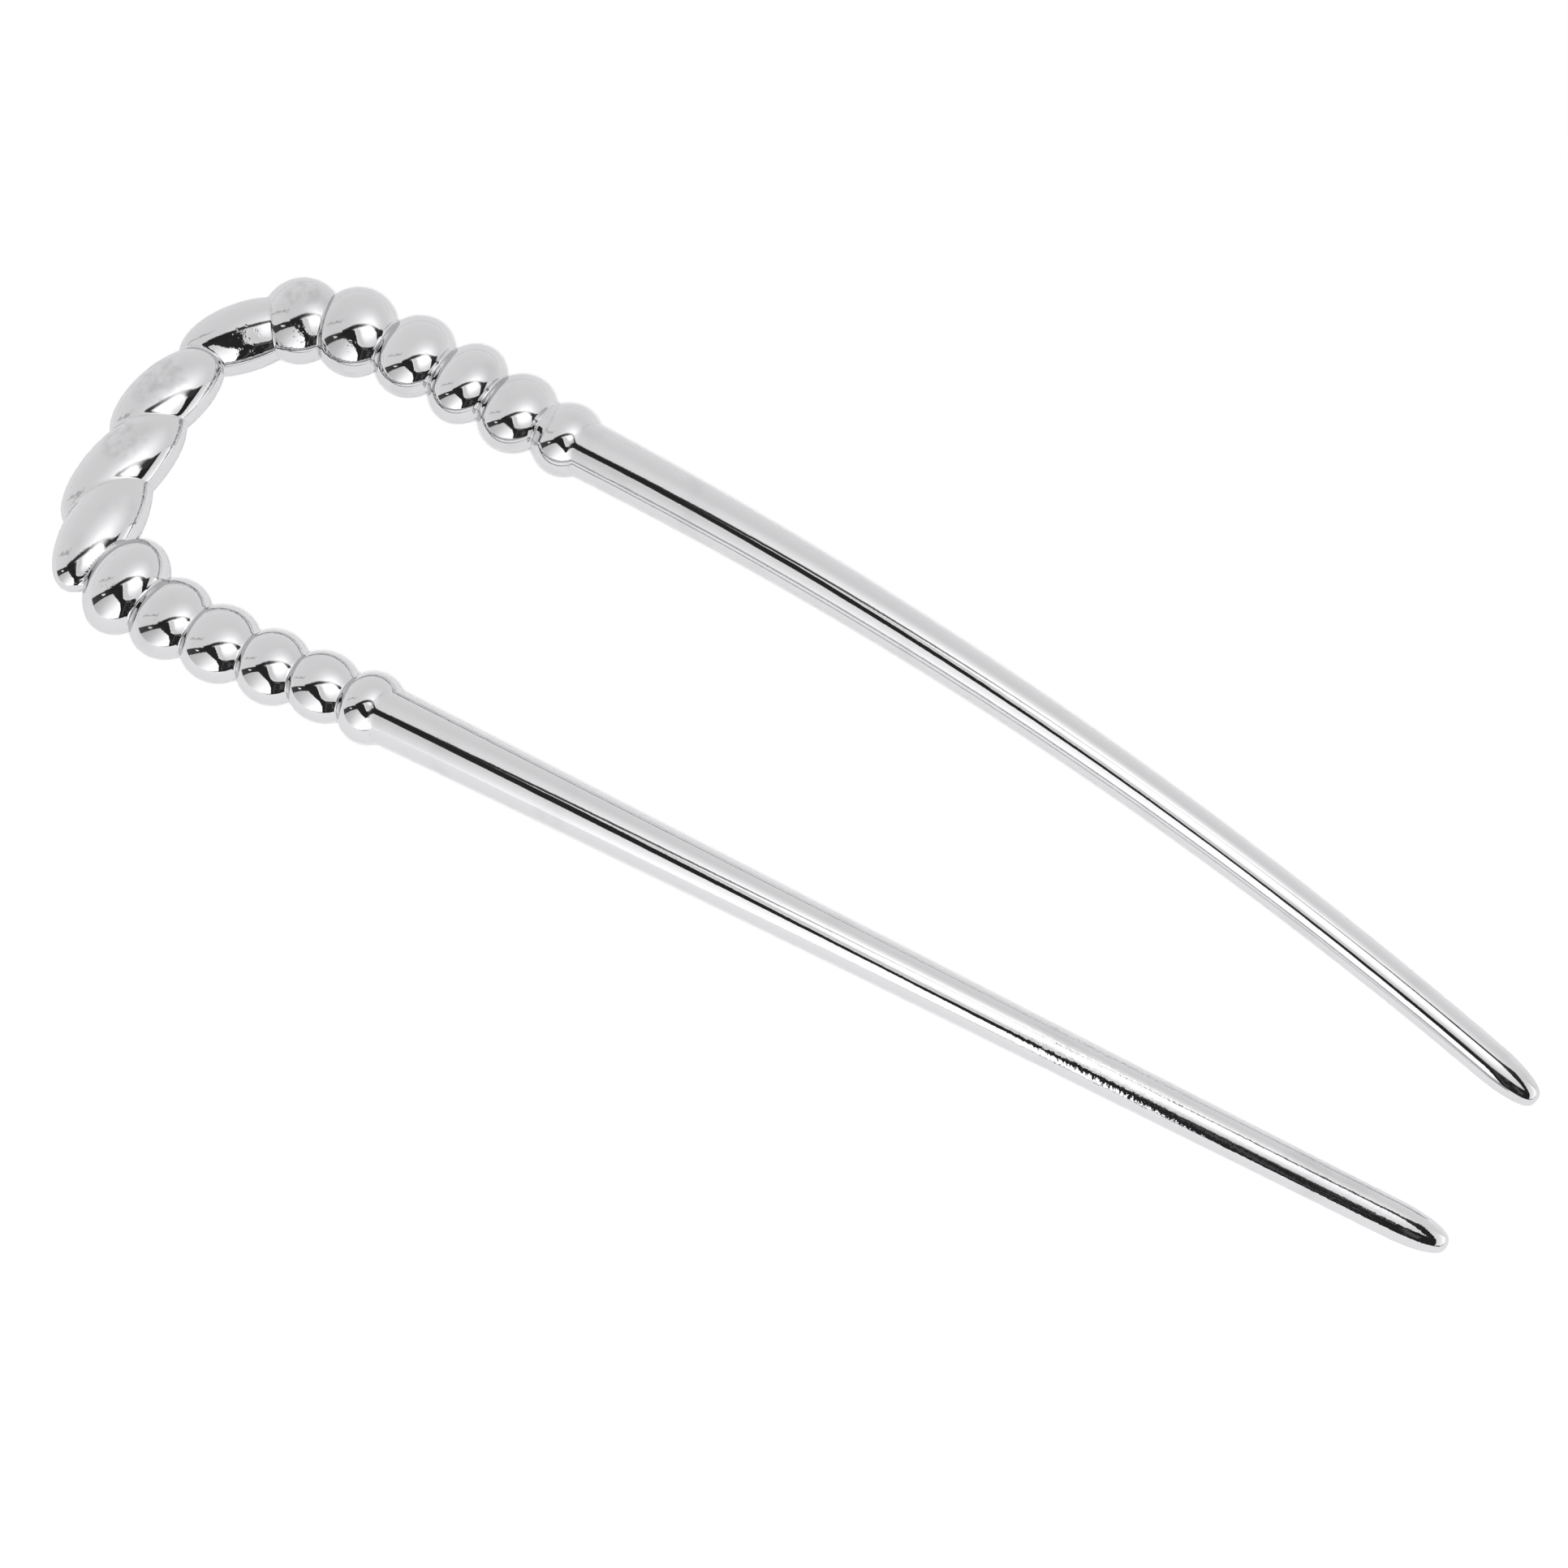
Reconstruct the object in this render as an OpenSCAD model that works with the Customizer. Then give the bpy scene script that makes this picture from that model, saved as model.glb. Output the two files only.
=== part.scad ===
/* [Pin] */
// Length of the centre line along the table, from the back of the bend to the tips
pin_length = 122.7; // [110:0.1:135]
// Half the distance between the arms' centre lines where the bend ends
arm_spread = 14.6; // [13:0.1:17]
// Half the distance between the centre lines at the tips
tip_spread = 6.97; // [5:0.01:10]
// Height of the arch above a straight line from the bend to the tips
arch_height = 7.52; // [4:0.01:10]

/* [Bend] */
// Depth of the bend, from its back to where the arms begin
bend_depth = 16.5; // [14:0.1:18]
// Squareness of the bend: 2 is a half ellipse, more has fuller corners
bend_squareness = 3.36; // [2.6:0.01:4]

/* [Arms] */
// How far each arm draws in just past the bend
waist = 0.71; // [0:0.01:1.5]
// Length over which that waist is drawn in
waist_run = 12.1; // [8:0.1:20]
// How late the arms close towards the tips: 1 is a straight line
draw_in = 2.13; // [1.2:0.01:3]

/* [Beads] */
// Height of a bead or lobe as a share of its width
bead_height = 0.74; // [0.7:0.01:1]

/* [Prongs] */
// Radius of a prong where it leaves the last bead
prong_root_r = 2.27; // [2:0.01:2.4]
// Radius of a prong just before its tip
prong_tip_r = 1.52; // [1.2:0.01:1.8]
// How early a prong thins out: 1 is a straight taper
prong_taper = 1.95; // [1:0.05:3]
// Length of the blunt, rounded tip
tip_length = 4.3; // [3:0.1:6]

/* [Hidden] */

bead_sides = 22;
prong_sides = 20;
prong_steps = 14;
tip_steps = 9;
bend_steps = 90;
arm_steps = 90;

// Columns of the bead tables: the bead's place along the centre line from the back of
// the bend, half its length, half its width, how far it stands outwards, its slant, and
// how much fuller it is in height than the rest
PLACE = 0;
HALF_LENGTH = 1;
HALF_WIDTH = 2;
OUTWARDS = 3;
SLANT = 4;
FULLER = 5;

// Four long lobes round the bend, laid slantwise like the strands of a twisted rope.
// A place below zero is on the left arm
bend_lobes = [
    [-10.6, 5.5, 2.68, -0.41, 10.6, 1],
    [-2.4, 5.58, 2.87, 0.43, 14.5, 1],
    [4.55, 6.6, 2.97, 0.12, 14.4, 1],
    [10.15, 6.1, 2.92, 0.05, 26.5, 1]
];

// Six beads on each arm, getting smaller towards the prong
left_beads = [
    [-40.9, 2.8, 2.92, 0, 0, 1.16],
    [-36.1, 3.1, 3.35, 0, 0, 1],
    [-31.05, 3, 3.5, 0, 0, 1],
    [-25.85, 3.25, 3.47, 0, 0, 1],
    [-20.35, 3.4, 3.5, 0, 0, 1],
    [-15.55, 3.4, 3.4, 0, 0, 1]
];
right_beads = [
    [16.35, 3.2, 4.05, 0, -13, 1],
    [21.3, 3.3, 3.47, 0, 0, 1],
    [26.15, 3.25, 3.25, 0, 0, 1],
    [31.1, 2.95, 3, 0, 0, 1],
    [35.65, 2.98, 2.8, 0, 0, 1],
    [40, 2.6, 2.87, 0, 0, 1.16]
];
beads = concat(left_beads, bend_lobes, right_beads);

// Each prong starts inside its last bead
prong_root = 40.5;
prong_start = 39;

// Radius of the solid core that joins each bead to the next
core_r = 1.4;
core_sides = 16;

// Half of the centre line, from the back of the bend to a tip
function arch_z(y) = 4 * arch_height * (y / pin_length) * (1 - y / pin_length);

function bend_point(a) =
    let (y = bend_depth * (1 - pow(cos(a), 2 / bend_squareness)))
    [arm_spread * pow(sin(a), 2 / bend_squareness), y, arch_z(y)];

function arm_point(y) =
    let (v = min((y - bend_depth) / waist_run, 1))
    let (u = (y - bend_depth) / (pin_length - bend_depth))
    let (waist_x = arm_spread - waist * (3 * v * v - 2 * v * v * v))
    [waist_x - (arm_spread - waist - tip_spread) * pow(u, draw_in), y, arch_z(y)];

half_line = concat(
    [for (i = [0 : bend_steps]) bend_point(90 * i / bend_steps)],
    [for (i = [1 : arm_steps])
        arm_point(bend_depth + (pin_length - bend_depth) * i / arm_steps)]
);

// Length along the centre line at each of those points
last = len(half_line) - 1;
run = [for (i = 0, t = 0; i <= last;
        t = t + (i < last ? norm(half_line[i + 1] - half_line[i]) : 0), i = i + 1) t];
run_x = [for (i = [0 : last]) [run[i], half_line[i][0]]];
run_y = [for (i = [0 : last]) [run[i], half_line[i][1]]];
run_z = [for (i = [0 : last]) [run[i], half_line[i][2]]];
prong_end = run[last];

// A point at place s on the centre line, and the directions along, outwards and up there
probe = 0.2;
function side(s) = s < 0 ? -1 : 1;
function point_at(s) =
    [side(s) * lookup(abs(s), run_x), lookup(abs(s), run_y), lookup(abs(s), run_z)];
function unit(v) = v / norm(v);
function along(s) =
    unit(point_at(min(s + probe, prong_end)) - point_at(max(s - probe, -prong_end)));
function outwards(s) = unit(cross(along(s), [0, 0, 1]));
function upwards(s) = cross(outwards(s), along(s));

// A bead's middle and its three half axes as vectors
function bead_middle(b) = point_at(b[PLACE]) + b[OUTWARDS] * outwards(b[PLACE]);
function bead_length(b) =
    b[HALF_LENGTH] * (cos(b[SLANT]) * along(b[PLACE]) + sin(b[SLANT]) * outwards(b[PLACE]));
function bead_width(b) =
    b[HALF_WIDTH] * (cos(b[SLANT]) * outwards(b[PLACE]) - sin(b[SLANT]) * along(b[PLACE]));
function bead_rise(b) = bead_height * b[FULLER] * b[HALF_WIDTH] * upwards(b[PLACE]);

// How far a bead reaches from the origin in direction d
function bead_reach(b, d) =
    bead_middle(b) * d + norm([bead_length(b) * d, bead_width(b) * d, bead_rise(b) * d]);

// Radius of a prong at distance s from the back of the bend
function shaft_r(s) =
    prong_tip_r + (prong_root_r - prong_tip_r)
        * pow(1 - max(s - prong_root, 0) / (prong_end - prong_root), prong_taper);
function tip_share(s) =
    pow(1 - pow(1 - min((prong_end - s) / tip_length, 1), 1.7), 0.33);
function prong_r(s) = shaft_r(s) * tip_share(s);

// Places of the prong's rings: even along the shaft, closer and closer round the tip
shaft_end = prong_end - tip_length;
prong_places = concat(
    [for (i = [0 : prong_steps])
        prong_start + (shaft_end - prong_start) * i / prong_steps],
    [for (i = [1 : tip_steps])
        prong_end - tip_length * pow(1 - i / (tip_steps + 0.6), 2)]
);

// How the pin lies: the bend and both tips touch the table, and the origin is at the
// middle of the pin's outline, on the table
bend_drop = max([for (b = bend_lobes) bead_reach(b, [0, 0, -1])]);
tip_drop = max([for (s = prong_places) prong_r(s) - point_at(s)[2]]);
lie = atan((bend_drop - tip_drop) / pin_length);
table_up = [0, -sin(lie), cos(lie)];
table_along = [0, cos(lie), sin(lie)];
left_reach = max([for (b = beads) bead_reach(b, [-1, 0, 0])]);
right_reach = max([for (b = beads) bead_reach(b, [1, 0, 0])]);
back_reach = max([for (b = bend_lobes) bead_reach(b, -table_along)]);
front_reach = point_at(prong_end) * table_along;
drop = max([for (b = bend_lobes) bead_reach(b, -table_up)]);

module bead(b) {
    w = bead_width(b);
    l = bead_length(b);
    h = bead_rise(b);
    m = bead_middle(b);
    multmatrix([
        [w[0], l[0], h[0], m[0]],
        [w[1], l[1], h[1], m[1]],
        [w[2], l[2], h[2], m[2]],
        [0, 0, 0, 1]
    ]) sphere(r = 1, $fn = bead_sides);
}

// The metal that runs from bead to bead, unseen where the beads overlap
module core() {
    for (i = [0 : len(beads) - 2])
        hull() {
            translate(bead_middle(beads[i])) sphere(r = core_r, $fn = core_sides);
            translate(bead_middle(beads[i + 1])) sphere(r = core_r, $fn = core_sides);
        }
}

// A round prong, swept ring by ring along the centre line of one arm
module prong(arm) {
    rings = [for (s = prong_places)
        for (k = [0 : prong_sides - 1])
            let (a = 360 * k / prong_sides)
            point_at(arm * s)
                + prong_r(s) * (cos(a) * outwards(arm * s) + sin(a) * upwards(arm * s))];
    ring_count = len(prong_places);
    tip = len(rings);
    function corner(i, k) = i * prong_sides + (k % prong_sides);
    function turned(face) = arm > 0 ? face : [for (i = [len(face) - 1 : -1 : 0]) face[i]];
    walls = [for (i = [0 : ring_count - 2])
        for (k = [0 : prong_sides - 1])
            each [
                turned([corner(i, k), corner(i, k + 1), corner(i + 1, k + 1)]),
                turned([corner(i, k), corner(i + 1, k + 1), corner(i + 1, k)])
            ]];
    nose = [for (k = [0 : prong_sides - 1])
        turned([corner(ring_count - 1, k), corner(ring_count - 1, k + 1), tip])];
    root = [turned([for (k = [prong_sides - 1 : -1 : 0]) corner(0, k)])];
    polyhedron(
        points = concat(rings, [point_at(arm * prong_end)]),
        faces = concat(walls, nose, root)
    );
}

// One casting: the lobed bend, the beaded arms and the two prongs
module hairpin() {
    color("silver")
        translate([(left_reach - right_reach) / 2, (back_reach - front_reach) / 2, drop])
        rotate([-lie, 0, 0])
        union() {
            for (b = beads) bead(b);
            core();
            prong(-1);
            prong(1);
        }
}

hairpin();
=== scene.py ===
from math import atan2, cos, e, pi, radians, sin

import bpy
from mathutils import Matrix, Vector


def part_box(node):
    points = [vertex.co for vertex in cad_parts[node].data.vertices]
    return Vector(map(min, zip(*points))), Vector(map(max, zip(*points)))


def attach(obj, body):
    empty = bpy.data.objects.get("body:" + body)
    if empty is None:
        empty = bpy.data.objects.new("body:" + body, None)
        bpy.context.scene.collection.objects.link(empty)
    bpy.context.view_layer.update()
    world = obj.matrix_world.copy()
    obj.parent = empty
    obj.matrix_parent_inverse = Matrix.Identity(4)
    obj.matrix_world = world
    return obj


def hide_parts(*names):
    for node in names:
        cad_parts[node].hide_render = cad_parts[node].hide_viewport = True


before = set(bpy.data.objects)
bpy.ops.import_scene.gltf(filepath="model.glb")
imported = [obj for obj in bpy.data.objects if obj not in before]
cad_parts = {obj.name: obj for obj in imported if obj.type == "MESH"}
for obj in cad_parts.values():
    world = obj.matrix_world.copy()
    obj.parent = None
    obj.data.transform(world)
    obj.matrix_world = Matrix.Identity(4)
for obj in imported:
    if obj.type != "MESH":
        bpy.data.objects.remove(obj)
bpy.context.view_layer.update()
scene = bpy.context.scene

# Camera. It looks steeply down on the pin from beside its tips, with a long lens, the way the
# pin was photographed, and is turned a little about its own line of sight.
camera_azimuth = radians(122.596)
camera_elevation = radians(66.677)
camera_roll = radians(-1.372)
camera_aim = Vector((0.000711, -0.000391, 0.001909))
camera_distance = 0.735616
sensor_width = 36.0
lens_per_sensor_width = 5.98

camera_data = bpy.data.cameras.new("camera")
camera_data.sensor_width = sensor_width
camera_data.lens = lens_per_sensor_width * sensor_width
camera_data.clip_start = 0.01
camera_data.clip_end = 200.0
camera = bpy.data.objects.new("camera", camera_data)
scene.collection.objects.link(camera)
level_right = Vector((cos(camera_azimuth), sin(camera_azimuth), 0.0))
towards_camera = Vector((
    sin(camera_azimuth) * cos(camera_elevation),
    -cos(camera_azimuth) * cos(camera_elevation),
    sin(camera_elevation),
))
level_up = towards_camera.cross(level_right)
camera_right = cos(camera_roll) * level_right + sin(camera_roll) * level_up
camera_up = towards_camera.cross(camera_right)
turned = Matrix((camera_right, camera_up, towards_camera)).transposed().to_4x4()
place = Matrix.Translation(camera_aim + camera_distance * towards_camera)
camera.matrix_world = place @ turned
scene.camera = camera
scene.view_settings.view_transform = "Standard"


# Table. A wide sheet of pale matt board under the pin.
table_half = 30.0
table_colour = (0.8, 0.8, 0.803, 1.0)


def mesh_object(name, corners, faces):
    """A plain mesh object in the scene."""
    mesh = bpy.data.meshes.new(name)
    mesh.from_pydata(corners, [], faces)
    made = bpy.data.objects.new(name, mesh)
    scene.collection.objects.link(made)
    return made


def new_material(name):
    """An empty node material and its output node."""
    material = bpy.data.materials.new(name)
    material.use_nodes = True
    material.node_tree.nodes.clear()
    return material, material.node_tree.nodes.new("ShaderNodeOutputMaterial")


table = mesh_object(
    "table",
    [(-table_half, -table_half, 0), (table_half, -table_half, 0),
     (table_half, table_half, 0), (-table_half, table_half, 0)],
    [(0, 1, 2, 3)],
)
board, board_out = new_material("pale_board")
board_shader = board.node_tree.nodes.new("ShaderNodeBsdfPrincipled")
board_shader.inputs["Base Color"].default_value = table_colour
board_shader.inputs["Roughness"].default_value = 0.8
board_shader.inputs["Specular IOR Level"].default_value = 0.1
board.node_tree.links.new(board_shader.outputs[0], board_out.inputs[0])
table.data.materials.append(board)


# Light tent. A pale room and a lamp behind the camera light the table evenly. Round the pin
# stands a small tent of white cloth that only the polished metal mirrors: a glowing top, walls
# on the left and the right, and between them the dark room, with an arm that splits the top.
room_light = 0.34
lamp_distance = 1.0
lamp_size = 0.08
lamp_power = 10.9
tent_radius = 0.28
layer_gap = 0.003
tent_light = 1.14

world = bpy.data.worlds.new("pale_room")
world.use_nodes = True
world.node_tree.nodes["Background"].inputs["Color"].default_value = (room_light,) * 3 + (1.0,)
scene.world = world

lamp_data = bpy.data.lights.new("soft_lamp", "AREA")
lamp_data.shape = "DISK"
lamp_data.size = lamp_size
lamp_data.energy = lamp_power
lamp = bpy.data.objects.new("soft_lamp", lamp_data)
lamp_place = Matrix.Translation(camera_aim + lamp_distance * towards_camera)
lamp.matrix_world = lamp_place @ turned
lamp.visible_glossy = False
lamp.visible_camera = False
scene.collection.objects.link(lamp)

cloth, cloth_out = new_material("tent_cloth")
cloth_nodes, cloth_links = cloth.node_tree.nodes, cloth.node_tree.links
cover = cloth_nodes.new("ShaderNodeAttribute")
cover.attribute_name = "cover"
glow = cloth_nodes.new("ShaderNodeAttribute")
glow.attribute_name = "glow"
lit = cloth_nodes.new("ShaderNodeEmission")
lit.inputs["Color"].default_value = (1.0, 0.995, 1.0, 1.0)
clear = cloth_nodes.new("ShaderNodeBsdfTransparent")
woven = cloth_nodes.new("ShaderNodeMixShader")
brightness = cloth_nodes.new("ShaderNodeMath")
brightness.operation = "MULTIPLY"
brightness.inputs[1].default_value = tent_light
cloth_links.new(glow.outputs["Fac"], brightness.inputs[0])
cloth_links.new(brightness.outputs[0], lit.inputs["Strength"])
cloth_links.new(cover.outputs["Fac"], woven.inputs[0])
cloth_links.new(clear.outputs[0], woven.inputs[1])
cloth_links.new(lit.outputs[0], woven.inputs[2])
cloth_links.new(woven.outputs[0], cloth_out.inputs[0])


def finer(points, steps=5):
    """The same run of points or of rows, with steps between each two."""
    if isinstance(points[0], list):
        columns = [finer(list(column)) for column in zip(*points)]
        return [list(row) for row in zip(*columns)]
    between = [
        tuple(u + (v - u) * step / steps for u, v in zip(a, b))
        for a, b in zip(points, points[1:]) for step in range(steps)
    ]
    return between + [points[-1]]


def tent_cloth(name, rows, layer):
    """A sheet of the tent. Each point is degrees to the right and towards the camera from
    straight above the pin, how far the cloth covers what is behind it, and how it glows."""
    rows = finer([finer(row) for row in rows])
    radius = tent_radius - layer_gap * layer
    ahead = Vector((sin(camera_azimuth), -cos(camera_azimuth), 0.0))
    corners, covers, glows = [], [], []
    for row in rows:
        for right, forward, covering, glowing in row:
            down = radians((right ** 2 + forward ** 2) ** 0.5)
            heading = atan2(right, forward)
            flat = sin(heading) * level_right + cos(heading) * ahead
            corners.append(radius * (sin(down) * flat + cos(down) * Vector((0.0, 0.0, 1.0))))
            covers.append(covering)
            glows.append(glowing)
    across = len(rows[0])
    faces = [
        (i * across + j, i * across + j + 1, (i + 1) * across + j + 1, (i + 1) * across + j)
        for i in range(len(rows) - 1) for j in range(across - 1)
    ]
    made = mesh_object(name, corners, faces)
    for attribute_name, values in (("cover", covers), ("glow", glows)):
        attribute = made.data.attributes.new(attribute_name, "FLOAT", "POINT")
        attribute.data.foreach_set("value", values)
    made.data.materials.append(cloth)
    made.visible_camera = False
    made.visible_diffuse = False
    made.visible_shadow = False


def slit(name, points, layer):
    """A strip of the tent with soft edges. Each point is right, forward, half width, softness,
    cover and glow."""
    rows = []
    for i, (right, forward, half, soft, covering, glowing) in enumerate(points):
        before, after = points[max(i - 1, 0)], points[min(i + 1, len(points) - 1)]
        along = Vector((after[0] - before[0], after[1] - before[1])).normalized()
        rows.append([
            (right - along.y * offset, forward + along.x * offset, share * covering, glowing)
            for offset, share in (
                (-half - soft, 0.0), (-half, 1.0), (half, 1.0), (half + soft, 0.0),
            )
        ])
    tent_cloth(name, rows, layer)


# The cloth all round, evenly lit
tent_cloth("tent_shell", [
    [(reach * sin(2 * pi * k / 24), reach * cos(2 * pi * k / 24), 1.0, 0.8) for k in range(25)]
    for reach in (0.0, 30.0, 60.0, 90.0)
], -1)

# The glow of a second lamp through the top of the tent
glow_right, glow_forward = 9.0, 5.0
glow_rings = (
    (0.0, 1.0), (14.0, 1.0), (19.0, 0.7), (25.0, 0.42), (32.0, 0.2), (40.0, 0.07), (48.0, 0.0),
)
tent_cloth("tent_top", [
    [
        (glow_right + reach * sin(2 * pi * k / 24), glow_forward + reach * cos(2 * pi * k / 24),
         covering, 1.5)
        for k in range(25)
    ]
    for reach, covering in glow_rings
], 0)

# The back of the tent, a little brighter than the rest and more so towards the table
tent_cloth("tent_back", [
    [
        (reach * sin(2 * pi * k / 24), reach * cos(2 * pi * k / 24), covering, glowing)
        for k in range(5, 20)
    ]
    for reach, covering, glowing in (
        (50.0, 0.0, 0.87), (70.0, 0.3, 0.87), (78.0, 0.6, 0.87), (85.0, 1.0, 0.87),
        (90.0, 1.0, 0.88),
    )
], 0)

# The dark room, seen past the edge of the tent's top and down to the table
open_edge = [
    (-96, -13), (-76, -6), (-60, -2), (-48, 0), (-35, 0), (-23, 3), (-20, 13), (-18, 24),
    (-15, 34), (-8, 41), (6, 45), (24, 45), (38, 41), (48, 32), (48, 19), (36, 15), (31, 9),
    (35, 2), (60, -3), (78, -7), (95, -10),
]
table_edge = [
    (-96, 4), (-94, 16), (-90, 28), (-84, 42), (-74, 58), (-62, 70), (-50, 78), (-38, 83),
    (-30, 86), (-20, 88.5), (-10, 90), (0, 90.5), (10, 90), (20, 88.5), (30, 86), (38, 83),
    (50, 78), (62, 70), (74, 58), (86, 35), (96, 4),
]
dark = 0.022
paler_from = -45.0
paler_by = 0.0012


def gloom(right):
    """The dark room's glow, paler towards its left end."""
    return dark + paler_by * max(0.0, paler_from - right)


tent_cloth("dark_room", [
    [(x, y, 0.0, gloom(x)) for x, y in open_edge],
    [
        (x * 0.99 + 0.01 * u, y * 0.97 + 0.03 * v, 1.0, gloom(x))
        for (x, y), (u, v) in zip(open_edge, table_edge)
    ],
    [(u, v, 1.0, gloom(u)) for u, v in table_edge],
], 1)

# The arm of the dark room that splits the tent's top, nearly closed in the middle
slit("slit_arm", [
    (-46, 3, 4.0, 2.0, 1.0, dark), (-34, 1, 3.2, 2.2, 1.0, dark), (-24, -2, 2.4, 2.4, 1.0, 0.04),
    (-16, -3, 2.2, 2.8, 1.0, 0.06), (-8, -3.5, 1.5, 3.0, 0.95, 0.11), (0, -4, 1.0, 2.8, 0.7, 0.2),
    (8, -4.5, 0.6, 2.6, 0.4, 0.35), (15, -3, 0.8, 2.4, 0.45, 0.3), (22, 0, 1.5, 2.4, 0.75, 0.1),
    (29, 4, 3.0, 2.5, 1.0, 0.05), (38, 8, 4.4, 3.0, 1.0, 0.05), (48, 9, 3.5, 3.0, 1.0, dark),
], 2)

# The shaded rim of the glow, beside the dark room
slit("shaded_rim", [
    (-19, 1, 1.5, 2.0, 0.4, 0.6), (-15, 9, 2.5, 3.5, 0.65, 0.6), (-13, 19, 2.5, 4.5, 0.65, 0.64),
    (-9, 30, 2.5, 4.5, 0.65, 0.66), (-1, 38, 2.0, 4.0, 0.55, 0.7), (12, 41, 1.5, 3.5, 0.4, 0.8),
], 3)

# The left wall, grey above and white below, and the right wall opposite
tent_cloth("left_wall", [
    [(-95, 5, 1.0, 0.58), (-75, 9, 1.0, 0.6), (-56, 11, 1.0, 0.62), (-42, 13, 1.0, 0.72)],
    [(-92, 20, 1.0, 0.62), (-74, 25, 1.0, 0.66), (-52, 25, 1.0, 0.76), (-32, 28, 1.0, 0.98)],
    [(-88, 33, 1.0, 0.68), (-74, 40, 1.0, 0.78), (-48, 42, 1.0, 1.05), (-22, 42, 1.0, 1.3)],
    [(-82, 44, 1.0, 0.9), (-66, 56, 1.0, 1.2), (-44, 60, 1.0, 1.45), (-18, 61, 1.0, 1.45)],
    [(-76, 52, 1.0, 1.1), (-60, 66, 1.0, 1.35), (-42, 75, 1.0, 1.45), (-21, 78, 1.0, 1.4)],
    [(-72, 57, 1.0, 0.95), (-56, 71, 1.0, 1.05), (-40, 79.5, 1.0, 1.05), (-23, 85, 1.0, 1.0)],
], 4)
tent_cloth("right_wall", [
    [(50, -3, 1.0, 0.75), (64, -3, 1.0, 0.9), (78, -5, 1.0, 1.4), (95, -7, 1.0, 0.9)],
    [(49.5, 20, 1.0, 0.85), (66, 18, 1.0, 1.0), (80, 16, 1.0, 1.4), (93, 14, 1.0, 1.0)],
    [(49.5, 42, 1.0, 0.9), (62, 40, 1.0, 1.05), (74, 38, 1.0, 1.35), (84, 34, 1.0, 1.0)],
    [(45, 61, 1.0, 0.9), (54, 58, 1.0, 1.0), (63, 54, 1.0, 1.2), (72, 50, 1.0, 1.0)],
    [(38, 77, 1.0, 0.9), (48, 72, 1.0, 1.0), (58, 65, 1.0, 1.0), (68, 56, 1.0, 1.0)],
], 4)

# Paler things in the dark room and a few folds of the tent's cloth
slit("dim_shape", [
    (-6, 45, 1.5, 2.5, 0.8, 0.13), (3, 48, 2.0, 2.5, 0.8, 0.12), (12, 49, 2.0, 2.0, 0.6, 0.07),
], 3)
slit("dim_stand", [
    (14, 55, 3.0, 2.0, 0.9, 0.07), (16, 64, 4.0, 2.0, 0.9, 0.1), (12, 76, 3.0, 2.0, 0.8, 0.05),
], 3)
slit("dim_frame", [
    (-4, 52, 1.0, 1.5, 0.8, 0.1), (-8, 66, 1.0, 1.5, 0.8, 0.08), (-12, 80, 1.0, 1.5, 0.8, 0.1),
], 3)
for speck, (right, forward, glowing) in enumerate((
    (9, 51, 0.3), (18, 53, 0.16), (3, 57, 0.14), (23, 61, 0.3), (8, 65, 0.12), (18, 70, 0.2),
    (-2, 68, 0.2), (6, 77, 0.3), (-9, 79, 0.16),
)):
    slit("dim_speck_%d" % speck, [
        (right - 1.2, forward, 0.2, 0.4, 1.0, glowing),
        (right, forward + 0.5, 0.9, 0.5, 1.0, glowing),
        (right + 1.4, forward + 1.6, 0.2, 0.4, 1.0, glowing),
    ], 5)
slit("bright_knot", [
    (-66, 1, 0.5, 0.8, 0.9, 0.9), (-62, 4, 1.3, 0.9, 1.0, 1.1), (-58, 5, 0.5, 0.8, 0.9, 0.9),
], 5)
slit("cloth_fold", [
    (-74, -27, 0.6, 1.4, 0.35, 0.3), (-66, -26, 1.4, 1.4, 0.55, 0.3),
    (-59, -21, 0.8, 1.4, 0.4, 0.3), (-54, -21, 1.6, 1.4, 0.6, 0.3),
    (-47, -17, 1.0, 1.4, 0.5, 0.3), (-43, -21, 0.5, 1.0, 0.3, 0.3),
], 3)


# Hairpin. One casting in white metal, silver plated and mirror polished: a bend of four rope
# lobes, six beads down each arm and two long prongs with blunt tips. It lies arched on the table,
# on its bend and its tips. All its sizes are in millimetres until it is laid in place.
pin_length = 122.7
arm_spread = 14.6
tip_spread = 6.97
arch_height = 7.52
bend_depth = 16.5
bend_squareness = 3.36
waist = 0.71
waist_run = 12.1
draw_in = 2.13
bead_height = 0.74
prong_root = 40.5
prong_root_r = 2.27
prong_tip_r = 1.52
prong_taper = 1.95
tip_length = 4.3
crease_r = 0.05
line_points = 2401
rings = 1001
sides = 96

# Each bead: its place along the centre line from the back of the bend, below zero on the left
# arm, half its length, half its width, how far it stands outwards, its slant in degrees, how
# much fuller it is in height than the rest, and how steeply it rises along and across the line
bead_columns = (
    "place", "half_length", "half_width", "outwards", "slant", "fuller", "rise_along",
    "rise_across",
)
left_beads = [
    (-40.9, 2.8, 2.92, 0.0, 0.0, 1.16, -0.054, 0.075),
    (-36.1, 3.1, 3.35, 0.0, 0.0, 1.0, -0.068, 0.017),
    (-31.05, 3.0, 3.5, 0.0, 0.0, 1.0, -0.133, 0.013),
    (-25.85, 3.25, 3.47, 0.0, 0.0, 1.0, -0.1, 0.044),
    (-20.35, 3.4, 3.5, 0.0, 0.0, 1.0, 0.027, 0.178),
    (-15.55, 3.4, 3.4, 0.0, 0.0, 1.0, -0.055, 0.145),
]
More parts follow.
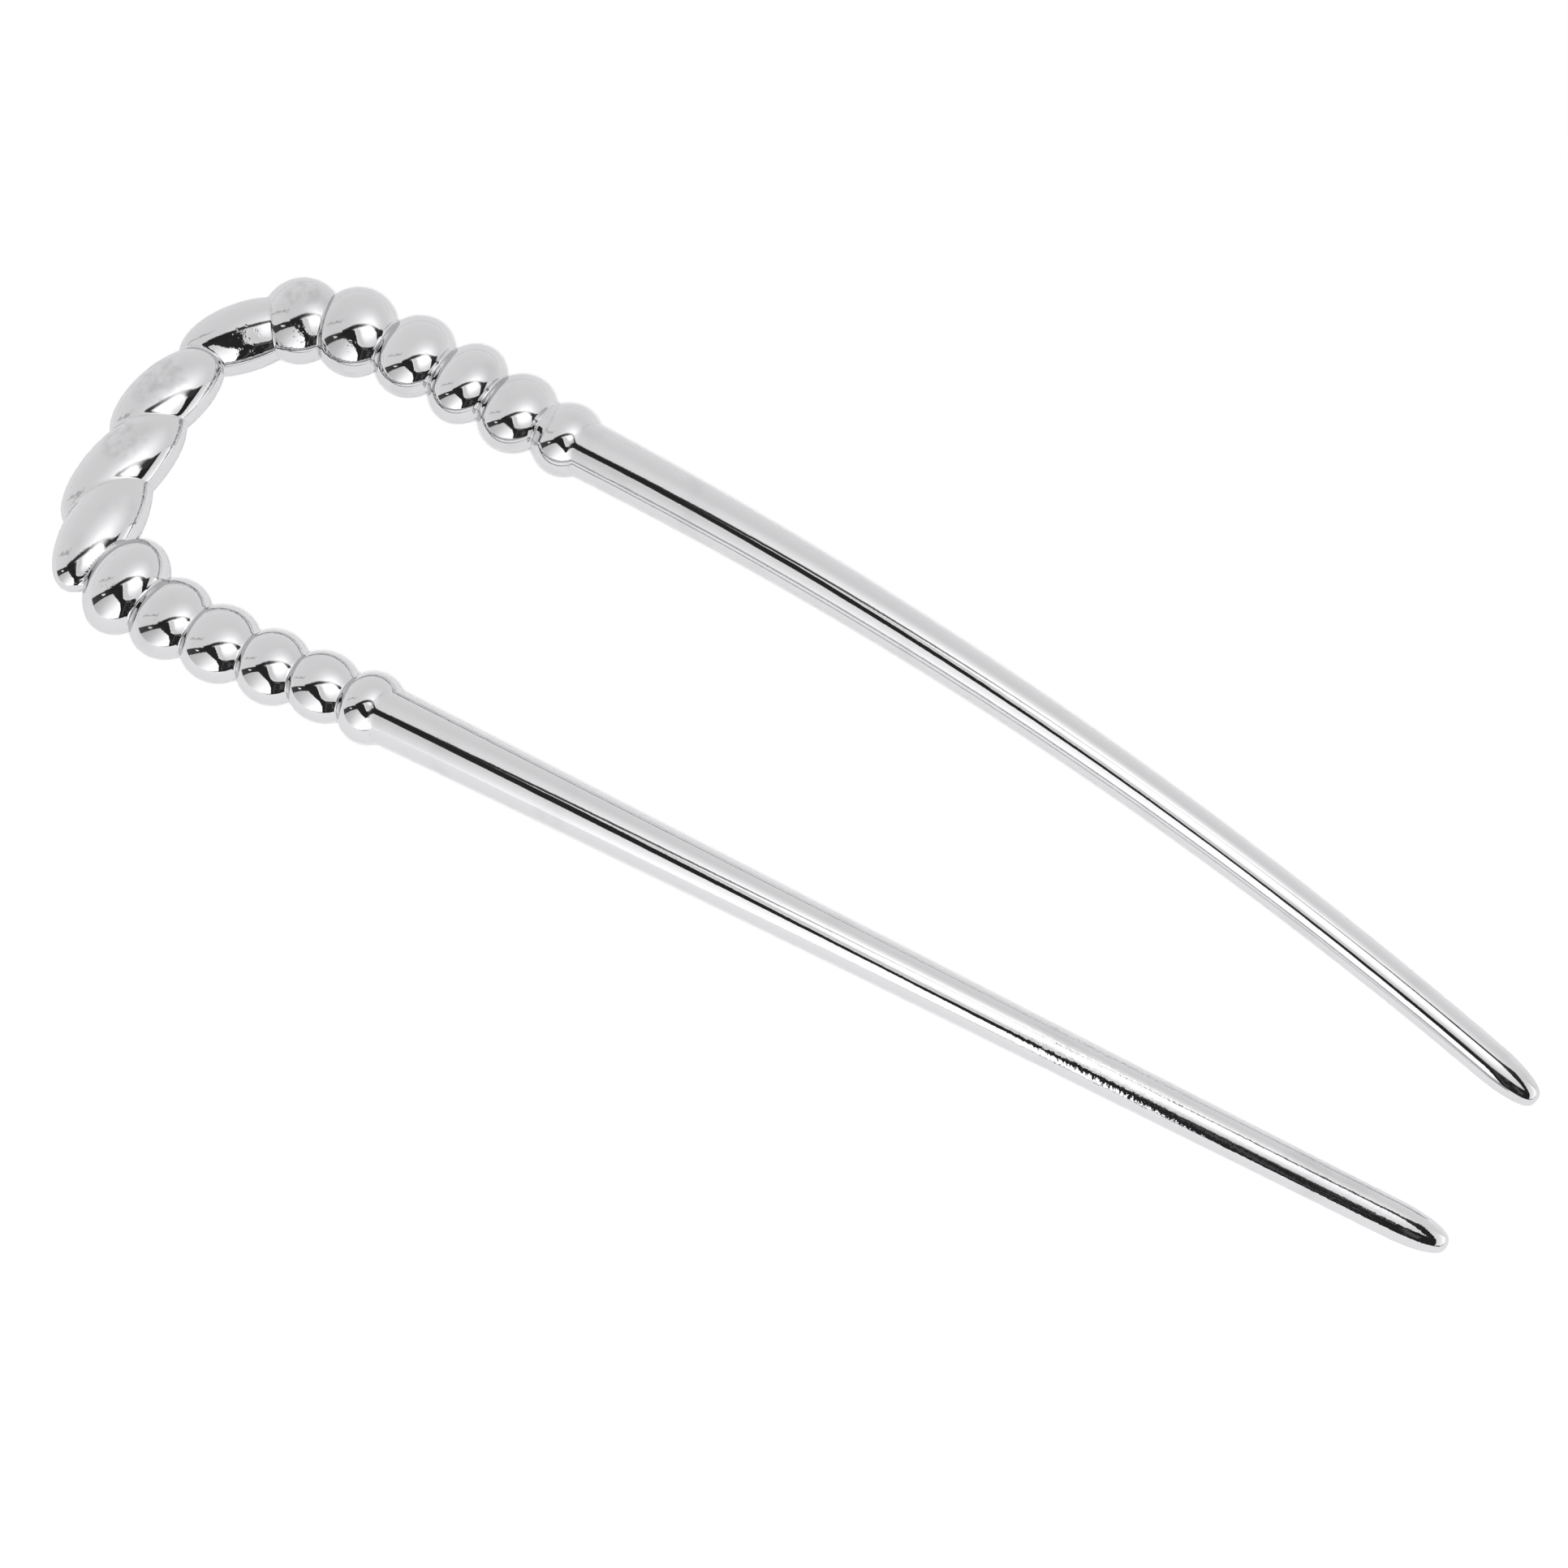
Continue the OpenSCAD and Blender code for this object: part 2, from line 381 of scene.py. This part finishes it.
bend_lobes = [
    (-10.6, 5.5, 2.68, -0.41, 10.6, 1.0, -0.068, 0.194),
    (-2.4, 5.58, 2.87, 0.43, 14.5, 1.0, -0.05, 0.03),
    (4.55, 6.6, 2.97, 0.12, 14.4, 1.0, -0.05, 0.03),
    (10.15, 6.1, 2.92, 0.05, 26.5, 1.0, -0.06, 0.035),
]
right_beads = [
    (16.35, 3.2, 4.05, 0.0, -13.0, 1.0, 0.068, -0.131),
    (21.3, 3.3, 3.47, 0.0, 0.0, 1.0, 0.101, -0.014),
    (26.15, 3.25, 3.25, 0.0, 0.0, 1.0, 0.0, 0.009),
    (31.1, 2.95, 3.0, 0.0, 0.0, 1.0, -0.072, -0.065),
    (35.65, 2.98, 2.8, 0.0, 0.0, 1.0, -0.087, -0.052),
    (40.0, 2.6, 2.87, 0.0, 0.0, 1.16, -0.037, -0.051),
]
beads = left_beads + bend_lobes + right_beads

skin = bpy.data.node_groups.new("hairpin_skin", "GeometryNodeTree")


class Field:
    """A value or vector in the node tree that can be written into a formula."""

    def __init__(self, socket):
        self.socket = socket

    def __add__(self, other):
        return combine("ADD", self, other)

    def __radd__(self, other):
        return combine("ADD", other, self)

    def __sub__(self, other):
        return combine("SUBTRACT", self, other)

    def __rsub__(self, other):
        return combine("SUBTRACT", other, self)

    def __mul__(self, other):
        return combine("MULTIPLY", self, other)

    def __rmul__(self, other):
        return combine("MULTIPLY", other, self)

    def __truediv__(self, other):
        return combine("DIVIDE", self, other)

    def __rtruediv__(self, other):
        return combine("DIVIDE", other, self)

    def __pow__(self, other):
        return combine("POWER", self, other)

    def __matmul__(self, other):
        return vector("DOT_PRODUCT", self, other)


def feed(socket, value):
    """Links a field to an input, or sets the input to a plain value."""
    if isinstance(value, Field):
        skin.links.new(value.socket, socket)
    else:
        socket.default_value = value


def node(kind, inputs=(), **settings):
    """A new node with its settings made and its inputs fed, by name or by number."""
    made = skin.nodes.new(kind)
    for name, value in settings.items():
        setattr(made, name, value)
    for name, value in dict(inputs).items():
        feed(made.inputs[name], value)
    return made


def number(operation, *values):
    """A maths node on plain numbers."""
    return Field(node("ShaderNodeMath", enumerate(values), operation=operation).outputs[0])


def vector(operation, *values):
    """A maths node on vectors."""
    made = node("ShaderNodeVectorMath", enumerate(values), operation=operation)
    single = operation in ("DOT_PRODUCT", "LENGTH")
    return Field(made.outputs["Value" if single else "Vector"])


def is_vector(value):
    """Whether a value is a field of vectors."""
    return isinstance(value, Field) and value.socket.type == "VECTOR"


def combine(operation, a, b):
    """a and b joined by one operation: two numbers, two vectors, or a vector times a number."""
    if is_vector(a) and is_vector(b):
        return vector(operation, a, b)
    if is_vector(a) or is_vector(b):
        stretched, factor = (a, b) if is_vector(a) else (b, a)
        return Field(node(
            "ShaderNodeVectorMath", {0: stretched, "Scale": factor}, operation="SCALE"
        ).outputs["Vector"])
    return number(operation, a, b)


def xyz(x, y, z):
    """A vector from three numbers."""
    return Field(node("ShaderNodeCombineXYZ", {"X": x, "Y": y, "Z": z}).outputs[0])


def choose(condition, when_true, when_false):
    """when_true where condition is 1, and when_false where it is 0."""
    return condition * when_true + (1.0 - condition) * when_false


def size_input(name, value):
    """A named input of the tree that holds one size."""
    socket = skin.interface.new_socket(name, in_out="INPUT", socket_type="NodeSocketFloat")
    socket.default_value = value
    return socket.identifier


skin.interface.new_socket("Beads", in_out="INPUT", socket_type="NodeSocketGeometry")
skin.interface.new_socket("Skin", in_out="OUTPUT", socket_type="NodeSocketGeometry")
sizes = {
    "Pin length": pin_length, "Arm spread": arm_spread, "Tip spread": tip_spread,
    "Arch height": arch_height, "Bend depth": bend_depth,
    "Bend squareness": bend_squareness, "Waist": waist, "Waist run": waist_run,
    "Draw in": draw_in, "Bead height": bead_height, "Prong root": prong_root,
    "Prong root radius": prong_root_r, "Prong tip radius": prong_tip_r,
    "Prong taper": prong_taper, "Tip length": tip_length, "Crease radius": crease_r,
}
size_sockets = {name: size_input(name, value) for name, value in sizes.items()}
group_in = skin.nodes.new("NodeGroupInput")
size = {name: Field(group_in.outputs[name]) for name in sizes}

# The centre line: the bend by a rounded square's formula, then one arm drawn in at its waist
# and again towards the tip, mirrored to the other arm
bend_share = 0.25
index = Field(node("GeometryNodeInputIndex").outputs[0])
half_points = (line_points - 1) / 2
walked = (index - half_points) / half_points
hand = number("SIGN", walked)
walk = number("ABSOLUTE", walked)
in_bend = number("MINIMUM", walk / bend_share, 1.0)
turn = (in_bend ** 2.0) * (3.0 - 2.0 * in_bend) * (pi / 2)
roundness = 2.0 / size["Bend squareness"]
bend_x = size["Arm spread"] * number("SINE", turn) ** roundness
quarter_cos = number("MAXIMUM", number("COSINE", turn), 0.0)
bend_y = size["Bend depth"] * (1.0 - quarter_cos ** roundness)
arm_run = size["Pin length"] - size["Bend depth"]
down_arm = number("MAXIMUM", (walk - bend_share) / (1.0 - bend_share), 0.0)
arm_y = size["Bend depth"] + arm_run * down_arm
eased = number("MINIMUM", arm_run * down_arm / size["Waist run"], 1.0)
waist_x = size["Arm spread"] - size["Waist"] * (eased ** 2.0) * (3.0 - 2.0 * eased)
closing = size["Arm spread"] - size["Waist"] - size["Tip spread"]
arm_x = waist_x - closing * down_arm ** size["Draw in"]
on_arm = number("GREATER_THAN", walk, bend_share)
line_y = choose(on_arm, arm_y, bend_y)
along_pin = line_y / size["Pin length"]
line_z = 4.0 * size["Arch height"] * along_pin * (1.0 - along_pin)
line_place = xyz(hand * choose(on_arm, arm_x, bend_x), line_y, line_z)
line = node("GeometryNodeMeshLine", {"Count": line_points})
shaped = node("GeometryNodeSetPosition", {
    "Geometry": Field(line.outputs[0]), "Position": line_place,
})
centre_line = Field(node(
    "GeometryNodeMeshToCurve", {"Mesh": Field(shaped.outputs[0])}
).outputs[0])
line_length = Field(node("GeometryNodeCurveLength", {"Curve": centre_line}).outputs[0])
half_length = line_length / 2.0


def on_line(place):
    """The point of the centre line at a place, and the directions along, outwards and up there."""
    sample = node(
        "GeometryNodeSampleCurve", {"Curves": centre_line, "Length": place + half_length},
        mode="LENGTH", use_all_curves=True,
    )
    along = vector("NORMALIZE", Field(sample.outputs["Tangent"]))
    outwards = vector("NORMALIZE", vector("CROSS_PRODUCT", along, (0.0, 0.0, 1.0)))
    upwards = vector("CROSS_PRODUCT", outwards, along)
    return Field(sample.outputs["Position"]), along, outwards, upwards


# Rings of points round the centre line, close together on the beads and at the tips
beaded_share = 0.84
beaded_length = 44.0
crowding = 1.8
grid = node("GeometryNodeMeshGrid", {"Vertices X": rings, "Vertices Y": sides + 1})
ring = number("FLOOR", (index + 0.5) / (sides + 1.0))
step = index - ring * (sides + 1.0)
spread = ring / ((rings - 1) / 2) - 1.0
far = number("ABSOLUTE", spread)
past = number("MAXIMUM", (far - beaded_share) / (1.0 - beaded_share), 0.0)
settle = 1.0 - (1.0 - past) ** crowding
near_place = number("MINIMUM", far / beaded_share, 1.0) * beaded_length
ring_place = number("SIGN", spread) * (near_place + settle * (half_length - beaded_length))
ring_point, _, ring_out, ring_up = on_line(ring_place)
angle = step * (2 * pi / sides)
spoke = number("COSINE", angle) * ring_out + number("SINE", angle) * ring_up

# The prong's radius, thinning quickly at first, with a blunt nose
from_back = number("ABSOLUTE", ring_place)
run = number("MAXIMUM", from_back - size["Prong root"], 0.0) / (half_length - size["Prong root"])
left_over = number("MAXIMUM", 1.0 - run, 0.0)
thick = size["Prong root radius"] - size["Prong tip radius"]
shaft_r = size["Prong tip radius"] + thick * left_over ** size["Prong taper"]
nose_squareness = 1.7
nose_roundness = 0.33
from_nose = number("MAXIMUM", (half_length - from_back) / size["Tip length"], 0.0)
nose = number("MINIMUM", from_nose, 1.0)
prong_r = shaft_r * (1.0 - (1.0 - nose) ** nose_squareness) ** nose_roundness

# How far each spoke runs to the outside of each bead. The exponential sum of all of them is
# the outer skin with a small round in every crease
reach = 4.0
prong_overlap = 1.5
repeat_in = node("GeometryNodeRepeatInput")
repeat_out = node("GeometryNodeRepeatOutput")
repeat_in.pair_with_output(repeat_out)
repeat_out.repeat_items.clear()
repeat_out.repeat_items.new("FLOAT", "Total")
repeat_out.repeat_items.new("FLOAT", "Longest")
feed(repeat_in.inputs["Iterations"], len(beads))
on_prong = number("GREATER_THAN", from_back, prong_root - prong_overlap)
prong_share = number("EXPONENT", (prong_r - reach) / size["Crease radius"])
feed(repeat_in.inputs["Total"], on_prong * prong_share)
feed(repeat_in.inputs["Longest"], on_prong * prong_r)
bead_number = Field(repeat_in.outputs["Iteration"])


def column(name):
    """One column of the bead table, at the bead whose turn it is."""
    named = node("GeometryNodeInputNamedAttribute", {"Name": name}, data_type="FLOAT")
    sample = node(
        "GeometryNodeSampleIndex",
        {"Geometry": Field(group_in.outputs["Beads"]), "Index": bead_number,
         "Value": Field(named.outputs[0])},
        data_type="FLOAT", domain="POINT",
    )
    return Field(sample.outputs[0])


bead_point, bead_along, bead_out, bead_up = on_line(column("place"))
middle = bead_point + column("outwards") * bead_out
slant = column("slant") * (pi / 180)
long_axis = number("COSINE", slant) * bead_along + number("SINE", slant) * bead_out
wide_axis = number("COSINE", slant) * bead_out - number("SINE", slant) * bead_along
half_width = column("half_width")
leaning_up = bead_up - column("rise_along") * long_axis - column("rise_across") * wide_axis
scales = (
    (long_axis, column("half_length")),
    (wide_axis, half_width),
    (leaning_up, half_width * column("fuller") * size["Bead height"]),
)
start = xyz(*(((ring_point - middle) @ axis) / half for axis, half in scales))
travel = xyz(*((spoke @ axis) / half for axis, half in scales))
square = travel @ travel
across = start @ travel
inside = across * across - square * (start @ start - 1.0)
near = number("LESS_THAN", vector("LENGTH", ring_point - middle), 2.0 * reach)
meets = near * number("GREATER_THAN", inside, 0.0)
exit_at = (number("SQRT", number("MAXIMUM", inside, 0.0)) - across) / square
exit_at = number("MINIMUM", exit_at, 1.5 * reach)
bead_share = number("EXPONENT", (exit_at - reach) / size["Crease radius"])
feed(repeat_out.inputs["Total"], Field(repeat_in.outputs["Total"]) + meets * bead_share)
longest = number("MAXIMUM", Field(repeat_in.outputs["Longest"]), meets * exit_at)
feed(repeat_out.inputs["Longest"], longest)
at_nose = number("LESS_THAN", nose, 0.0001)
summed = number("LOGARITHM", Field(repeat_out.outputs["Total"]), e)
radius = (1.0 - at_nose) * (reach + size["Crease radius"] * summed)

# For the metal: how deep in a crease a point lies, 1 at its bottom, and its side of the casting.
# At the bottom two beads reach equally far, which adds the natural logarithm of 2 to the sum
deepest = 0.693
deep = (reach - Field(repeat_out.outputs["Longest"])) / size["Crease radius"] + summed
deep = (1.0 - at_nose) * deep / deepest

cast = node("GeometryNodeSetPosition", {
    "Geometry": Field(grid.outputs[0]), "Position": ring_point + radius * spoke,
})
marked = cast
for name, field, kind in (
    ("crease", deep, "FLOAT"),
    ("around", xyz(number("COSINE", angle), number("SINE", angle), 0.0), "FLOAT_VECTOR"),
):
    marked = node("GeometryNodeStoreNamedAttribute", {
        "Geometry": Field(marked.outputs[0]), "Name": name,
    }, data_type=kind, domain="POINT")
    feed(next(s for s in marked.inputs if s.name == "Value" and s.enabled), field)
merge_gap = 0.0005
closed = node("GeometryNodeMergeByDistance", {
    "Geometry": Field(marked.outputs[0]), "Distance": merge_gap,
})
smooth = node("GeometryNodeSetShadeSmooth", {"Geometry": Field(closed.outputs[0])})
real = node("GeometryNodeRealizeInstances", {"Geometry": Field(smooth.outputs[0])})
finish = node("GeometryNodeSetMaterial", {"Geometry": Field(real.outputs[0])})
group_out = skin.nodes.new("NodeGroupOutput")
skin.links.new(finish.outputs[0], group_out.inputs[0])

# Silver plate over white metal, polished like a mirror. It is a little wavy from polishing, dull
# and tarnished in the creases, cloudy in places, with burrs on one prong, a fine parting line and
# a few casting pits. Heights of its relief are in mm
silver, silver_out = new_material("silver_plate")
silver_nodes, silver_links = silver.node_tree.nodes, silver.node_tree.links


def metal(kind, inputs=(), **settings):
    """A new node of the metal, its inputs linked or set, by name or by number."""
    made = silver_nodes.new(kind)
    for name, value in settings.items():
        setattr(made, name, value)
    for name, value in dict(inputs).items():
        if isinstance(value, bpy.types.NodeSocket):
            silver_links.new(value, made.inputs[name])
        else:
            made.inputs[name].default_value = value
    return made


def grain(size_mm, detail):
    """Noise from 0 to 1 with grains of about size_mm."""
    return metal("ShaderNodeTexNoise", {
        "Vector": in_mm, "Scale": 1.0 / size_mm, "Detail": detail,
    }).outputs["Fac"]


def ramp(value, low_value, high_value, low_out=0.0, high_out=1.0):
    """value eased from one range into another and held at its ends."""
    return metal("ShaderNodeMapRange", {
        "Value": value, "From Min": low_value, "From Max": high_value,
        "To Min": low_out, "To Max": high_out,
    }, interpolation_type="SMOOTHSTEP").outputs[0]


def maths(operation, *values):
    """A maths node of the metal."""
    return metal("ShaderNodeMath", enumerate(values), operation=operation).outputs[0]


def close_to(spots):
    """1 at any of the spots and 0 away from them. Each spot is a place and a radius in mm."""
    close = 0.0
    for middle_mm, radius_mm in spots:
        gap = metal("ShaderNodeVectorMath", {0: in_mm, 1: middle_mm}, operation="DISTANCE")
        at_spot = ramp(gap.outputs["Value"], radius_mm / 2, radius_mm, 1.0, 0.0)
        close = maths("MAXIMUM", close, at_spot)
    return close


here = metal("ShaderNodeTexCoord").outputs["Object"]
in_mm = metal("ShaderNodeVectorMath", {0: here, "Scale": 1000.0}, operation="SCALE").outputs[0]
crease = metal("ShaderNodeAttribute", attribute_name="crease").outputs["Fac"]
around = metal("ShaderNodeAttribute", attribute_name="around").outputs["Vector"]
level = metal("ShaderNodeSeparateXYZ", {0: around}).outputs["Y"]

# Waves left by the polishing mop, and finer ones that fray the edges of reflections
wave_height = 0.016
ripple_height = 0.0035
waves = maths("MULTIPLY", grain(2.6, 1.0), wave_height)
patchy = ramp(grain(3.5, 1.0), 0.35, 0.65, 0.3, 1.0)
ripples = maths("MULTIPLY", maths("MULTIPLY", grain(0.35, 2.0), patchy), ripple_height)
height = maths("ADD", waves, ripples)

# The right prong was mopped less and kept fine burrs, most of them past its middle
burr_height = 0.032
place_mm = metal("ShaderNodeSeparateXYZ", {0: in_mm}).outputs
less_mopped = maths("MULTIPLY", ramp(place_mm["X"], 1.0, 3.0), ramp(place_mm["Y"], 24.0, 31.0))
less_mopped = maths("MULTIPLY", less_mopped, ramp(place_mm["Y"], 36.0, 43.0, 1.0, 0.35))
burrs = maths("MULTIPLY", maths("MULTIPLY", grain(0.45, 2.0), less_mopped), burr_height)
height = maths("ADD", height, burrs)

# The parting line: a fine broken ridge round the sides, just below half height
ridge_level = -0.2
ridge_half = 0.03
ridge_height = 0.011
off_line = maths("ABSOLUTE", maths("SUBTRACT", level, ridge_level))
broken = ramp(grain(1.2, 1.0), 0.48, 0.58)
ridge = maths("MULTIPLY", ramp(off_line, 0.0, ridge_half, 1.0, 0.0), broken)
height = maths("ADD", height, maths("MULTIPLY", ridge, ridge_height))

# Coarse, pitted places on the beads and the lobe next to the bend's ends
pit_depth = 0.01
coarse_height = 0.008
shaken = metal("ShaderNodeTexNoise", {"Vector": in_mm, "Scale": 3.5, "Detail": 2.0})
uneven = metal("ShaderNodeVectorMath", {
    0: shaken.outputs["Color"], 1: (0.5, 0.5, 0.5), 2: in_mm,
}, operation="MULTIPLY_ADD")
cells = metal("ShaderNodeTexVoronoi", {"Vector": uneven.outputs[0], "Scale": 2.2})
pitted = close_to([
    ((-11.6, -52.9, 5.2), 1.3), ((-12.6, -55.1, 5.6), 0.6), ((14.9, -54.2, 6.1), 0.9),
    ((-9.3, -56.9, 4.2), 1.7), ((-12.3, -48.8, 6.1), 0.8),
])
pit = maths("MULTIPLY", ramp(cells.outputs["Distance"], 0.08, 0.3, 1.0, 0.0), pitted)
height = maths("SUBTRACT", height, maths("MULTIPLY", pit, pit_depth))
coarse = maths("MULTIPLY", maths("MULTIPLY", grain(0.4, 3.0), pitted), coarse_height)
height = maths("ADD", height, coarse)

# Tarnish in the creases, a dull cloud on three of the lobes, and faint ones elsewhere
tarnish = ramp(crease, 0.25, 1.0)
dull = maths("MULTIPLY", close_to([
    ((-2.7, -60.8, 4.3), 3.2), ((-14.1, -54.3, 6.0), 2.2), ((3.3, -60.2, 4.3), 2.4),
]), ramp(grain(0.9, 4.0), 0.35, 0.7))
cloud = maths("MAXIMUM", dull, maths("MULTIPLY", ramp(grain(5.0, 4.0), 0.52, 0.75), 0.5))
stained = maths("MULTIPLY", ramp(grain(0.8, 3.0), 0.3, 0.7), tarnish)

# How much duller and how much darker each of these is than the clean plate
clean_roughness = 0.035
clean_colour = (0.66, 0.66, 0.668, 1.0)
dark_colour = (0.27, 0.26, 0.27, 1.0)
edge_tint = (0.85, 0.85, 0.86, 1.0)
roughness = clean_roughness
for mark, duller in ((cloud, 0.12), (tarnish, 0.16), (pit, 0.1)):
    roughness = maths("ADD", roughness, maths("MULTIPLY", mark, duller))
shade = 0.0
for mark, darker in ((stained, 0.5), (pit, 0.4), (ridge, 0.4), (cloud, 0.3)):
    shade = maths("MAXIMUM", shade, maths("MULTIPLY", mark, darker))
colour = metal("ShaderNodeMix", {
    "Factor": shade, 6: clean_colour, 7: dark_colour,
}, data_type="RGBA").outputs[2]
mm = 0.001
bump = metal("ShaderNodeBump", {"Strength": 1.0, "Distance": mm, "Height": height})
plate = metal("ShaderNodeBsdfPrincipled", {
    "Base Color": colour, "Metallic": 1.0, "Roughness": roughness, "Normal": bump.outputs[0],
    "Specular Tint": edge_tint,
})
silver_links.new(plate.outputs[0], silver_out.inputs[0])
finish.inputs["Material"].default_value = silver

bead_mesh = bpy.data.meshes.new("bead_table")
bead_mesh.from_pydata([(0.0, 0.0, 0.0)] * len(beads), [], [])
for column_name, values in zip(bead_columns, zip(*beads)):
    attribute = bead_mesh.attributes.new(column_name, "FLOAT", "POINT")
    attribute.data.foreach_set("value", values)
bead_table = bpy.data.objects.new("bead_table", bead_mesh)
scene.collection.objects.link(bead_table)
grow = bead_table.modifiers.new("skin", "NODES")
grow.node_group = skin
for name, identifier in size_sockets.items():
    grow[identifier] = sizes[name]
shown = bead_table.evaluated_get(bpy.context.evaluated_depsgraph_get())
pin_mesh = bpy.data.meshes.new_from_object(shown)
bpy.data.objects.remove(bead_table)
pin_mesh.materials.clear()
pin_mesh.materials.append(silver)
pin_mesh.polygons.foreach_set("material_index", [0] * len(pin_mesh.polygons))

# Laid down as it lies by itself: tipped until the bend and the tips both touch the table
bend_low = min(v.co.z for v in pin_mesh.vertices if v.co.y < pin_length / 4)
tip_low = min(v.co.z for v in pin_mesh.vertices if v.co.y > pin_length * 3 / 4)
lie = atan2(tip_low - bend_low, pin_length)
pin_mesh.transform(Matrix.Scale(mm, 4) @ Matrix.Rotation(-lie, 4, "X"))
low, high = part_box("hairpin")
middle_now = [
    (min(v.co[i] for v in pin_mesh.vertices) + max(v.co[i] for v in pin_mesh.vertices)) / 2
    for i in (0, 1)
]
lowest = min(v.co.z for v in pin_mesh.vertices)
pin_mesh.transform(Matrix.Translation((
    (low.x + high.x) / 2 - middle_now[0], (low.y + high.y) / 2 - middle_now[1], low.z - lowest,
)))
hairpin = bpy.data.objects.new("cast_hairpin", pin_mesh)
scene.collection.objects.link(hairpin)
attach(hairpin, "root")
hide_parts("hairpin")
